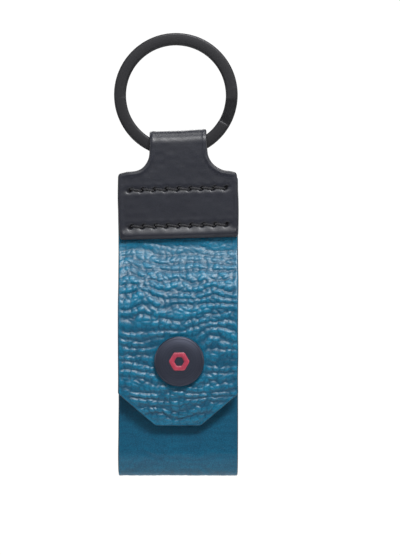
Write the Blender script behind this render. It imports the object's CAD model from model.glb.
"""Leather key fob with a wireless tracker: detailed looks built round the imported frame.

Sizes inside the classes are in millimetres, as on a maker's drawing. Meshes are written in metres,
and so are the lamps' places and the start and end of each blend.
"""

from __future__ import annotations

import logging
import math
from collections.abc import Callable
from dataclasses import dataclass, field
from enum import Enum

import bpy
import numpy as np
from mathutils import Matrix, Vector


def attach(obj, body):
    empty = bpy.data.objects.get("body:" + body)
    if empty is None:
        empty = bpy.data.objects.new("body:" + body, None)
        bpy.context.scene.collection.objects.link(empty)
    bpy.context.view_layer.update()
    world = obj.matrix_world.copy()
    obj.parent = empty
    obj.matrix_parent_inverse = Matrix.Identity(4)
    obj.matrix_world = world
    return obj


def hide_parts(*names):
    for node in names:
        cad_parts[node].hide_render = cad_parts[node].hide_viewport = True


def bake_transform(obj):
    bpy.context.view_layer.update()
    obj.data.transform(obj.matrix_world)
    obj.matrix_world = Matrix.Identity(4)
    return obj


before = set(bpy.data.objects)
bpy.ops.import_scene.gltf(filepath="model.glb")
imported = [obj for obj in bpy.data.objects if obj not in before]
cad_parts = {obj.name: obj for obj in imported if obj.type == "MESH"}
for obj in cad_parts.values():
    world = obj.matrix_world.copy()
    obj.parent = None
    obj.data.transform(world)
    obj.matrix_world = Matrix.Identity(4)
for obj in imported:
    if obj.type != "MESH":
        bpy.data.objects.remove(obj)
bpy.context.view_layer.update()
MM = 0.001
LOG = logging.getLogger("key_fob")

Array = np.ndarray
Colour = tuple[float, float, float, float]
Face = tuple[int, ...]
Socket = bpy.types.NodeSocket
Value = float | tuple[float, ...] | Socket


# ---------------------------------------------------------------- numbers


def smoothstep(low: float, high: float, value: Array) -> Array:
    """A smooth rise from 0 at low to 1 at high."""
    t = np.clip((value - low) / (high - low), 0.0, 1.0)
    return t * t * (3.0 - 2.0 * t)


def bump(value: Array, centre: float, reach: float) -> Array:
    """A bell curve of height 1 at centre that has faded out at about twice reach."""
    return np.exp(-(((value - centre) / reach) ** 2))


def screen_colour(red: int, green: int, blue: int) -> Colour:
    """A colour given as 0 to 255 screen values, as the shader's linear numbers.

    Args:
        red: red, 0 to 255.
        green: green, 0 to 255.
        blue: blue, 0 to 255.

    Returns:
        Linear red, green and blue, and an alpha of 1.
    """
    linear = []
    for value in (red, green, blue):
        share = value / 255
        linear.append(share / 12.92 if share <= 0.04045 else ((share + 0.055) / 1.055) ** 2.4)
    return (linear[0], linear[1], linear[2], 1.0)


class SmoothNoise:
    """Smooth random heights from -1 to 1 over a plane, the same on every run."""

    LATTICE = 64

    def __init__(self, seed: int) -> None:
        """Draws the lattice of random heights that the seed picks."""
        self.values = np.random.default_rng(seed).uniform(-1.0, 1.0, (self.LATTICE, self.LATTICE))

    def at(self, u: Array, v: Array | float) -> Array:
        """Heights at points one lattice step apart per unit.

        Args:
            u: first coordinate of each point.
            v: second coordinate of each point, or of all of them.

        Returns:
            The height at each point.
        """
        low_u, low_v = np.floor(u).astype(int), np.floor(v).astype(int)
        part_u, part_v = smoothstep(0.0, 1.0, u - low_u), smoothstep(0.0, 1.0, v - low_v)
        size = self.LATTICE
        corners = [
            [self.values[(low_u + i) % size, (low_v + j) % size] for j in (0, 1)] for i in (0, 1)
        ]
        low = corners[0][0] * (1 - part_v) + corners[0][1] * part_v
        high = corners[1][0] * (1 - part_v) + corners[1][1] * part_v
        return low * (1 - part_u) + high * part_u


class CellPattern:
    """Irregular cells over a plane, about one unit across, such as the pebbles of leather."""

    LATTICE = 96

    def __init__(self, seed: int, jitter: float) -> None:
        """Draws the cells' centres, a square grid at jitter 0 and the most irregular at 1."""
        spread = np.random.default_rng(seed).uniform(-0.5, 0.5, (self.LATTICE, self.LATTICE, 2))
        self.centres = 0.5 + jitter * spread

    def crease_distance(self, u: Array, v: Array) -> tuple[Array, Array]:
        """How far each point is from its cell's centre and from the crease round the cell.

        Args:
            u: first coordinate of each point.
            v: second coordinate of each point.

        Returns:
            Distance to the centre, and a number that is 0 on a crease and grows away from it.
        """
        low_u, low_v = np.floor(u).astype(int), np.floor(v).astype(int)
        nearest = np.full(u.shape, np.inf)
        second = np.full(u.shape, np.inf)
        for step_u in (-2, -1, 0, 1, 2):
            for step_v in (-2, -1, 0, 1, 2):
                cell = self.centres[(low_u + step_u) % self.LATTICE, (low_v + step_v) % self.LATTICE]
                away = np.hypot(low_u + step_u + cell[..., 0] - u, low_v + step_v + cell[..., 1] - v)
                second = np.minimum(second, np.maximum(nearest, away))
                nearest = np.minimum(nearest, away)
        return nearest, second - nearest


# ---------------------------------------------------------------- lines in side view

STRAIGHT_POINTS = 40
CURVE_POINTS = 80
ARC_POINTS = 90


def straight(start: tuple[float, float], end: tuple[float, float]) -> Array:
    """Points along a straight line, as Y and Z."""
    share = np.linspace(0, 1, STRAIGHT_POINTS)[:, None]
    return np.array(start) * (1 - share) + np.array(end) * share


def curved(*controls: tuple[float, float]) -> Array:
    """Points along the Bezier curve of two to four controls.

    Args:
        controls: the control points, as Y and Z.

    Returns:
        The points.
    """
    share = np.linspace(0, 1, CURVE_POINTS)[:, None]
    degree = len(controls) - 1
    total = np.zeros((CURVE_POINTS, 2))
    for index, control in enumerate(controls):
        weight = math.comb(degree, index) * share**index * (1 - share) ** (degree - index)
        total += weight * np.array(control)
    return total


def arc(centre: tuple[float, float], radii: tuple[float, float], start: float, end: float) -> Array:
    """Points along an ellipse as Y and Z, between angles in degrees, 0 towards +Y and 90 towards +Z."""
    angle = np.radians(np.linspace(start, end, ARC_POINTS))
    return np.array(centre) + np.array(radii) * np.stack([np.cos(angle), np.sin(angle)], axis=1)


class SidePath:
    """A line in side view that a strip of leather follows, measured by the length along it.

    The leather's finished side is the one on which X, then the way along, then outwards make a
    right-handed set.
    """

    STEP = 0.1

    def __init__(self, *pieces: Array, soften: float = 0.6) -> None:
        """Joins the pieces of line and rounds the joints between them.

        Args:
            pieces: runs of points as Y and Z, in order.
            soften: reach of the rounding, in millimetres.
        """
        points = np.concatenate(pieces)
        gaps = np.hypot(*np.diff(points, axis=0).T)
        points = points[np.concatenate([[True], gaps > 1e-6])]
        line = self._spaced(points)
        reach = int(soften / self.STEP)
        kernel = np.hanning(2 * reach + 3)[1:-1]
        kernel /= kernel.sum()
        before = 2 * line[0] - line[reach:0:-1]
        after = 2 * line[-1] - line[-2 : -reach - 2 : -1]
        longer = np.concatenate([before, line, after])
        self.line = np.stack([np.convolve(longer[:, k], kernel, "valid") for k in (0, 1)], axis=1)
        steps = np.hypot(*np.diff(self.line, axis=0).T)
        self.travel = np.concatenate([[0.0], np.cumsum(steps)])
        self.length = float(self.travel[-1])
        along = np.gradient(self.line, axis=0)
        self.along = along / np.linalg.norm(along, axis=1)[:, None]

    def _spaced(self, points: Array) -> Array:
        """The same line with its points evenly spaced.

        Args:
            points: rows of Y and Z.

        Returns:
            The new rows.
        """
        travel = np.concatenate([[0.0], np.cumsum(np.hypot(*np.diff(points, axis=0).T))])
        even = np.linspace(0, travel[-1], int(travel[-1] / self.STEP) + 1)
        return np.stack([np.interp(even, travel, points[:, k]) for k in (0, 1)], axis=1)

    def place(self, s: Array, out: Array) -> tuple[Array, Array]:
        """Where points of the strip lie.

        Args:
            s: length along the path of each point.
            out: how far each stands out from the path, towards the finished side.

        Returns:
            Y and Z of each point.
        """
        y, z, along_y, along_z = (
            np.interp(s, self.travel, values) for values in (*self.line.T, *self.along.T)
        )
        return y - out * along_z, z + out * along_y

    def length_at(self, height: float, from_end: bool = False) -> float:
        """Length along the path where it passes a height.

        Args:
            height: the value of Z.
            from_end: takes the last place where it passes, not the first.

        Returns:
            The length along the path.
        """
        above = self.line[:, 1] > height
        changes = np.flatnonzero(above[1:] != above[:-1])
        if not len(changes):
            ends = np.abs(self.line[[0, -1], 1] - height)
            return 0.0 if ends[0] < ends[1] else self.length
        index = changes[-1] if from_end else changes[0]
        z0, z1 = self.line[index, 1], self.line[index + 1, 1]
        share = (height - z0) / (z1 - z0)
        return float(self.travel[index] * (1 - share) + self.travel[index + 1] * share)


def distance_to_outline(points: Array, outline: Array) -> Array:
    """How far each point is from a closed outline.

    Args:
        points: rows of two coordinates.
        outline: the outline's corners in order.

    Returns:
        The distances.
    """
    start, end = outline, np.roll(outline, -1, axis=0)
    run = end - start
    squared = np.maximum((run**2).sum(1), 1e-12)
    result = np.empty(len(points))
    batch = 4000
    for first in range(0, len(points), batch):
        part = points[first : first + batch, None, :] - start[None]
        share = np.clip((part * run).sum(2) / squared, 0, 1)
        away = part - share[..., None] * run
        result[first : first + batch] = np.sqrt((away**2).sum(2).min(1))
    return result


# ---------------------------------------------------------------- meshes


def new_object(name: str, points: Array, faces: list[Face]) -> bpy.types.Object:
    """Makes a smooth-shaded mesh object.

    Args:
        name: the piece's name.
        points: vertices in millimetres.
        faces: corner indices of each face.

    Returns:
        The new object, linked to the scene.
    """
    mesh = bpy.data.meshes.new(name)
    mesh.from_pydata((np.asarray(points) * MM).tolist(), [], faces)
    mesh.polygons.foreach_set("use_smooth", [True] * len(mesh.polygons))
    mesh.validate()
    obj = bpy.data.objects.new(name, mesh)
    bpy.context.scene.collection.objects.link(obj)
    return obj


def ring_faces(
    rings: int, sides: int, first: int = 0, flipped: bool = False, closed: bool = False
) -> list[Face]:
    """Four-sided faces between rings of vertices that follow one another.

    Args:
        rings: how many rings there are.
        sides: vertices in each ring.
        first: index of the first ring's first vertex.
        flipped: turns the faces to the rings' other side.
        closed: joins the last ring to the first one too.

    Returns:
        The faces.
    """
    faces: list[Face] = []
    for ring in range(rings if closed else rings - 1):
        here, beyond = first + ring * sides, first + (ring + 1) % rings * sides
        for side in range(sides):
            beside = (side + 1) % sides
            face = (here + side, here + beside, beyond + beside, beyond + side)
            faces.append((face[0], *face[:0:-1]) if flipped else face)
    return faces


def write_attribute(obj: bpy.types.Object, name: str, values: Array) -> None:
    """Stores a number or a vector on every vertex, for the shaders to read.

    Args:
        obj: the piece.
        name: the attribute's name.
        values: one number or one row of three numbers for each vertex.
    """
    vector = values.ndim == 2
    kind = "FLOAT_VECTOR" if vector else "FLOAT"
    attribute = obj.data.attributes.new(name, kind, "POINT")
    attribute.data.foreach_set("vector" if vector else "value", values.astype(np.float32).ravel())


def turned(name: str, profile: Array, centre: Vector, sides: int) -> bpy.types.Object:
    """A turned solid whose axis runs along Y.

    Args:
        name: the piece's name.
        profile: rows of radius and Y, from the front's middle out and round to the back's middle.
        centre: where the axis stands, in millimetres; profile's Y is measured from here.
        sides: steps round the axis.

    Returns:
        The piece, with the attribute reach, which is the distance from the axis.
    """
    angle = np.arange(sides) / sides * 2 * math.pi
    spoke = np.stack([np.cos(angle), np.zeros(sides), np.sin(angle)], axis=1)
    radius, y = profile[1:-1].T
    rows = radius[:, None, None] * spoke + y[:, None, None] * np.array([0.0, 1.0, 0.0])
    ends = np.array([[0.0, profile[0][1], 0.0], [0.0, profile[-1][1], 0.0]])
    points = np.concatenate([rows.reshape(-1, 3), ends])
    rings = len(radius)
    faces = ring_faces(rings, sides, flipped=True)
    front, last = rings * sides, (rings - 1) * sides
    for side in range(sides):
        beside = (side + 1) % sides
        faces.append((front, side, beside))
        faces.append((front + 1, last + beside, last + side))
    obj = new_object(name, points + np.array(centre), faces)
    write_attribute(obj, "reach", np.hypot(points[:, 0], points[:, 2]))
    return obj


def tube(line: Array, radius: float, sides: int, first: int) -> tuple[Array, list[Face]]:
    """A closed tube along a line.

    Args:
        line: rows of X, Y and Z.
        radius: the tube's radius.
        sides: corners round the tube.
        first: index of the tube's first vertex in the mesh that it joins.

    Returns:
        The vertices and the faces.
    """
    across, other = side_directions(line)
    angle = np.arange(sides)[None, :, None] / sides * 2 * math.pi
    spoke = np.cos(angle) * across[:, None] + np.sin(angle) * other[:, None]
    points = (line[:, None] + radius * spoke).reshape(-1, 3)
    faces = ring_faces(len(line), sides, first)
    last = first + (len(line) - 1) * sides
    faces.append(tuple(range(first, first + sides))[::-1])
    faces.append(tuple(range(last, last + sides)))
    return points, faces


def side_directions(line: Array) -> tuple[Array, Array]:
    """Two directions square to a line at each of its points.

    Args:
        line: rows of X, Y and Z, nowhere running along Z.

    Returns:
        The level direction and the one square to it and to the line.
    """
    along = np.gradient(line, axis=0)
    along /= np.linalg.norm(along, axis=1)[:, None]
    across = np.cross(along, (0.0, 0.0, 1.0))
    across /= np.linalg.norm(across, axis=1)[:, None]
    return across, np.cross(along, across)


# ---------------------------------------------------------------- leather cut and laid


@dataclass
class Surface:
    """What the finished side of a piece of leather does at each point of its grid."""

    height: Array
    relief: Array
    hole: Array | None = None


@dataclass
class LeatherSheet:
    """A piece of leather, cut flat and laid along a path, with two faces and a rounded edge."""

    name: str
    path: SidePath
    thickness: float
    outline_s: Array
    outline_left: Array
    outline_right: Array
    row_pitch: float
    column_pitch: float
    finished: Callable[[Array, Array, Array], Surface]
    fine_rows: list[tuple[float, float, float]] = field(default_factory=list)
    coarse_rows: list[tuple[float, float, float]] = field(default_factory=list)
    edge_radius: float = 0.26
    edge_crown: float = 0.07
    place: Callable[[Array], Array] = lambda points: points

    EDGE_STEPS = (0.0, 0.02, 0.07, 0.14, 0.26, 0.42)
    EDGE_CLEARANCE = 1.3
    CLOSEST_ROWS = 0.018
    CALM_BAND = (0.05, 0.7)
    PAINTED_BAND = (0.04, 0.3)
    PLAIN_RELIEF = 0.6

    def _rows(self) -> Array:
        """Places the grid's rows: evenly, closer at the ends and where the piece asks for it.

        Returns:
            Lengths along the path.
        """
        length = self.path.length
        run = np.hypot(np.diff(self.outline_s), np.diff(self.outline_right))
        travel = np.concatenate([[0.0], np.cumsum(run)])
        even = np.arange(0, travel[-1], self.row_pitch)
        rows = [np.interp(even, travel, self.outline_s)]
        rows.append(np.array(self.EDGE_STEPS))
        rows.append(length - np.array(self.EDGE_STEPS))
        for low, high, pitch in self.fine_rows:
            rows.append(np.arange(low, high, pitch))
        merged = np.unique(np.clip(np.concatenate(rows), 0, length))
        for low, high, pitch in self.coarse_rows:
            inside = (merged > low) & (merged < high)
            merged = np.concatenate([merged[~inside], np.arange(low + pitch, high, pitch)])
        merged.sort()
        keep = [0.0]
        for value in merged[1:-1]:
            if min(value - keep[-1], length - value) > self.CLOSEST_ROWS:
                keep.append(value)
        return np.array([*keep, length])

    def _columns(self) -> Array:
        """Places the grid's columns, closer together at both sides.

        Returns:
            Places across the strip, from -1 to 1.
        """
        half = float(self.outline_right.max() - self.outline_left.min()) / 2
        core = np.linspace(-1, 1, int(2 * half / self.column_pitch) | 1)
        core = core[np.abs(core) < 1 - self.EDGE_STEPS[-1] * self.EDGE_CLEARANCE / half]
        edge = 1 - np.array(self.EDGE_STEPS) / half
        return np.sort(np.concatenate([core, edge, -edge]))

    def build(self) -> bpy.types.Object:
        """Cuts the piece, works its surface and lays it along its path.

        Returns:
            The piece, with the attributes flat, edge, relief, flesh and hole.
        """
        rows, columns = self._rows(), self._columns()
        left = np.interp(rows, self.outline_s, self.outline_left)[:, None]
        right = np.interp(rows, self.outline_s, self.outline_right)[:, None]
        x = (left + right) / 2 + columns[None] * (right - left) / 2
        s = np.repeat(rows[:, None], len(columns), axis=1)
        outline = np.concatenate([
            np.stack([self.outline_right, self.outline_s], axis=1),
            np.stack([self.outline_left, self.outline_s], axis=1)[::-1],
        ])
        inset = distance_to_outline(np.stack([x.ravel(), s.ravel()], axis=1), outline).reshape(x.shape)
        radius = self.edge_radius
        near = np.clip(inset, 0, radius)
        half = self.thickness / 2 - radius + np.sqrt(radius**2 - (radius - near) ** 2)
        surface = self.finished(x, s, inset)
        fade = smoothstep(*self.CALM_BAND, inset)
        front = self._laid(x, s, half + surface.height * fade)
        back = self._laid(x, s, -half)
        rim = self._perimeter(*x.shape)
        flat_x, flat_s = x.ravel()[rim], s.ravel()[rim]
        out_x, out_s = self._outwards(flat_x, flat_s)
        crown = self.edge_crown
        wall = self._laid(flat_x + out_x * crown, flat_s + out_s * crown, np.zeros(len(rim)))
        points = np.concatenate([front, back, wall])
        obj = new_object(self.name, points, self._faces(x.shape, rim))
        count, rims = x.size, len(rim)
        side = np.concatenate([np.zeros(count), np.ones(count), np.full(rims, 0.5)])
        flat = np.stack([
            np.concatenate([x.ravel(), x.ravel(), flat_x]),
            np.concatenate([s.ravel(), s.ravel(), flat_s]),
            side * self.thickness,
        ], axis=1)
        write_attribute(obj, "flat", flat)
        edge = 1 - smoothstep(*self.PAINTED_BAND, inset.ravel())
        write_attribute(obj, "edge", np.concatenate([edge, edge, np.ones(rims)]))
        write_attribute(obj, "flesh", np.concatenate([np.zeros(count), np.ones(count), np.zeros(rims)]))
        plain = np.full(count + rims, self.PLAIN_RELIEF)
        write_attribute(obj, "relief", np.concatenate([surface.relief.ravel(), plain]))
        hole = np.zeros(count) if surface.hole is None else surface.hole.ravel()
        write_attribute(obj, "hole", np.concatenate([hole, np.zeros(count + rims)]))
        return obj

    def _laid(self, x: Array, s: Array, out: Array) -> Array:
        """Points of the flat piece, laid along the path.

        Args:
            x: place across the strip.
            s: length along the path.
            out: height above the strip's middle.

        Returns:
            Rows of X, Y and Z.
        """
        x, s, out = x.ravel(), s.ravel(), out.ravel()
        beyond = s - np.clip(s, 0, self.path.length)
        y, z = self.path.place(s, out)
        at_end = np.where(beyond > 0, len(self.path.along) - 1, 0)
        y, z = y + beyond * self.path.along[at_end, 0], z + beyond * self.path.along[at_end, 1]
        return self.place(np.stack([x, y, z], axis=1))

    @staticmethod
    def _perimeter(rows: int, columns: int) -> Array:
        """Indices round the grid's rim, in the order of its faces."""
        grid = np.arange(rows * columns).reshape(rows, columns)
        return np.concatenate([grid[0, :-1], grid[:-1, -1], grid[-1, :0:-1], grid[:0:-1, 0]])

    @staticmethod
    def _outwards(x: Array, s: Array) -> tuple[Array, Array]:
        """Directions that point out of the rim at each of its points.

        Args:
            x: place across the strip of each point.
            s: length along the path of each point.

        Returns:
            The directions' two parts.
        """
        run_x, run_s = np.roll(x, -1) - np.roll(x, 1), np.roll(s, -1) - np.roll(s, 1)
        size = np.maximum(np.hypot(run_x, run_s), 1e-9)
        return run_s / size, -run_x / size

    @staticmethod
    def _faces(shape: tuple[int, int], rim: Array) -> list[Face]:
        """Faces of both sides and of the edge between them.

        Args:
            shape: rows and columns of the grid.
            rim: indices round the grid's rim.

        Returns:
            The faces.
        """
        rows, columns = shape
        count = rows * columns
        grid = np.arange(count).reshape(rows, columns)
        a, b, c, d = grid[:-1, :-1], grid[:-1, 1:], grid[1:, 1:], grid[1:, :-1]
        front = np.stack([a, b, c, d], axis=-1).reshape(-1, 4)
        back = front[:, ::-1] + count
        beyond = np.roll(rim, -1)
        wall = 2 * count + np.arange(len(rim))
        wall_next = np.roll(wall, -1)
        upper = np.stack([beyond, rim, wall, wall_next], axis=1)
        lower = np.stack([wall_next, wall, rim + count, beyond + count], axis=1)
        return np.concatenate([front, back, upper, lower]).tolist()


@dataclass(frozen=True)
class PebbleGrain:
    """Raised grain of pebbled leather: wavy ridges across the strip, broken into pebbles."""

    seed: int
    ridge_pitch: float = 2.3
    ridge_height: float = 0.34
    ridge_narrowness: float = 1.4
    arch_height: float = 1.5
    arch_reach: tuple[float, float] = (10.0, 12.0)
    wander: float = 0.5
    wander_reach: tuple[float, float] = (4.4, 3.0)
    lump_length: float = 1.4
    pebble: float = 1.7
    pebble_flatness: float = 0.8
    pebble_height: float = 0.22
    warp: float = 0.3
    warp_reach: float = 1.9
    patch_reach: float = 4.0
    tone_gain: float = 1.1

    ARCH_SHIFT = 3.1
    ROW_SHIFT = (5.3, 3.7)
    PATCH_SHIFT = 9.3
    MEAN_SHARE = 0.7
    EDGE_STRENGTH = 0.45
    EDGE_BAND = (0.2, 1.6)

    def laid(self, x: Array, s: Array, inset: Array, strength: Array, plain: Array | float) -> Surface:
        """The grain on a piece of leather, pressed flatter in places and beside the cut edge.

        Args:
            x: place across the strip.
            s: length along the strip.
            inset: distance from the cut edge.
            strength: share of the grain's height that is left at each point.
            plain: relief of the leather where no grain is left.

        Returns:
            The surface.
        """
        height, relief = self.heights(x, s)
        inner = smoothstep(*self.EDGE_BAND, inset)
        strength = strength * (self.EDGE_STRENGTH + (1 - self.EDGE_STRENGTH) * inner)
        shown = np.clip(strength * self.tone_gain, 0, 1)
        return Surface(height * strength, plain + (relief - plain) * shown)

    def heights(self, x: Array, s: Array) -> tuple[Array, Array]:
        """The grain's height.

        Args:
            x: place across the strip.
            s: length along the strip.

        Returns:
            Height in millimetres about its mean, and the same from 0 in a crease to 1 on a top.
        """
        broad, fine = SmoothNoise(self.seed), SmoothNoise(self.seed + 1)
        bent = s + self.arch_height * broad.at(
            x / self.arch_reach[0] + self.ARCH_SHIFT, s / self.arch_reach[1]
        )
        total = self.ridge_height * self._ridges(x, s, bent, fine)
        warp = self.warp * fine.at(x / self.warp_reach, s / self.warp_reach)
        middle, crease = CellPattern(self.seed + 3, 0.9).crease_distance(
            (x + warp) / self.pebble, (bent - warp) / (self.pebble * self.pebble_flatness)
        )
        pebble = smoothstep(-0.1, 0.5, crease) * (1 - 0.5 * np.clip(middle, 0, 1) ** 2)
        patch = broad.at(x / self.patch_reach + self.PATCH_SHIFT, s / self.patch_reach)
        total += self.pebble_height * pebble * (0.75 + 0.35 * patch)
        top = self.ridge_height + self.pebble_height
        return total - self.MEAN_SHARE * top, np.clip(total / top, 0, 1)

    def _ridges(self, x: Array, s: Array, bent: Array, fine: SmoothNoise) -> Array:
        """Height of the ridges alone, from 0 to about 1, with lumps along each.

        Args:
            x: place across the strip.
            s: length along the strip.
            bent: length along the strip, bent into the ridges' arches.
            fine: the noise that makes them wander and swell.

        Returns:
            The ridges' height.
        """
        stray = fine.at(x / self.wander_reach[0], s / self.wander_reach[1])
        phase = bent / self.ridge_pitch + self.wander * stray
        row = np.floor(phase)
        shift_x, shift_row = self.ROW_SHIFT
        lumps = 0.75 + 0.35 * fine.at(x / self.lump_length + shift_x * row, shift_row * row)
        return lumps * np.sin(math.pi * (phase - row)) ** self.ridge_narrowness


# ---------------------------------------------------------------- shader helpers


class Graph:
    """Adds and links nodes in one node tree."""

    def __init__(self, tree: bpy.types.NodeTree) -> None:
        """Takes the tree to work in, a material's or a group's."""
        self.tree = tree

    def add(
        self, kind: str, inputs: dict[str | int, Value] | None = None, **settings: object
    ) -> bpy.types.Node:
        """Adds a node.

        Args:
            kind: the node's type, without its ShaderNode prefix.
            inputs: value or socket for each input, by name or by number.
            settings: the node's own properties.

        Returns:
            The node.
        """
        node = self.tree.nodes.new(f"ShaderNode{kind}")
        for key, value in settings.items():
            setattr(node, key, value)
        for key, value in (inputs or {}).items():
            self.feed(node.inputs[key], value)
        return node

    def feed(self, socket: Socket, value: Value) -> None:
        """Links a socket, or sets its value.

        Args:
            socket: the input.
            value: another node's output, or a constant.
        """
        if isinstance(value, Socket):
            self.tree.links.new(value, socket)
        else:
            socket.default_value = value

    def maths(self, operation: str, *values: Value) -> Socket:
        """The result of a maths node, given its operation and then its inputs in order."""
        return self.add("Math", dict(enumerate(values)), operation=operation).outputs[0]

    def times(self, first: Value, second: Value) -> Socket:
        """One number times another."""
        return self.maths("MULTIPLY", first, second)

    def plus(self, first: Value, second: Value) -> Socket:
        """One number plus another."""
        return self.maths("ADD", first, second)

    def minus(self, first: Value, second: Value) -> Socket:
        """One number less another."""
        return self.maths("SUBTRACT", first, second)

    def graded(
        self, value: Value, low: float, high: float, to: tuple[float, float] = (0.0, 1.0)
    ) -> Socket:
        """A number moved smoothly from one range to another.

        Args:
            value: the number.
            low: lower end of its range.
            high: upper end of its range.
            to: the range that comes out.

        Returns:
            The result.
        """
        node = self.add(
            "MapRange",
            {0: value, 1: low, 2: high, 3: to[0], 4: to[1]},
            interpolation_type="SMOOTHSTEP",
        )
        return node.outputs[0]

    def mixed(self, share: Value, first: Value, second: Value, blend: str = "MIX") -> Socket:
        """Two colours mixed.

        Args:
            share: how much of the second.
            first: the first colour.
            second: the second colour.
            blend: the way they mix.

        Returns:
            The mixed colour.
        """
        node = self.add("Mix", data_type="RGBA", blend_type=blend, clamp_factor=True)
        for index, value in ((0, share), (6, first), (7, second)):
            self.feed(node.inputs[index], value)
        return node.outputs[2]

    def noise(
        self, where: Value, scale: Value, detail: float = 3.0, roughness: float = 0.55
    ) -> Socket:
        """Smooth noise from 0 to 1, its scale in steps per unit of the coordinates."""
        inputs = {"Vector": where, "Scale": scale, "Detail": detail, "Roughness": roughness}
        return self.add("TexNoise", inputs).outputs["Fac"]

    def stretched(
        self, where: Value, scale: tuple[float, float, float], turn: float = 0.0
    ) -> Socket:
        """Coordinates scaled on each axis and turned about the third one, in degrees."""
        inputs = {"Vector": where, "Scale": scale, "Rotation": (0, 0, math.radians(turn))}
        return self.add("Mapping", inputs).outputs[0]

    def emboss(self, shader: bpy.types.Node, height: Value, depth: float, strength: float) -> None:
        """Gives a shader relief, from a height of 0 to about 1 and a depth in millimetres."""
        relief = self.add("Bump", {"Height": height, "Distance": depth * MM, "Strength": strength})
        self.feed(shader.inputs["Normal"], relief.outputs[0])

    def attribute(self, name: str, output: str = "Fac") -> Socket:
        """What one of the pieces' own attributes holds."""
        return self.add("Attribute", attribute_name=name).outputs[output]

    def in_millimetres(self) -> Socket:
        """The piece's own coordinates, in millimetres."""
        place = self.add("TexCoord").outputs["Object"]
        return self.stretched(place, (1 / MM, 1 / MM, 1 / MM))

    def group(self, name: str, inputs: dict[str, Value]) -> bpy.types.Node:
        """Places a shared group.

        Args:
            name: the group's name.
            inputs: value or socket for each of its inputs.

        Returns:
            The group's node.
        """
        node = self.tree.nodes.new("ShaderNodeGroup")
        node.node_tree = bpy.data.node_groups[name]
        for key, value in inputs.items():
            self.feed(node.inputs[key], value)
        return node


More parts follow.
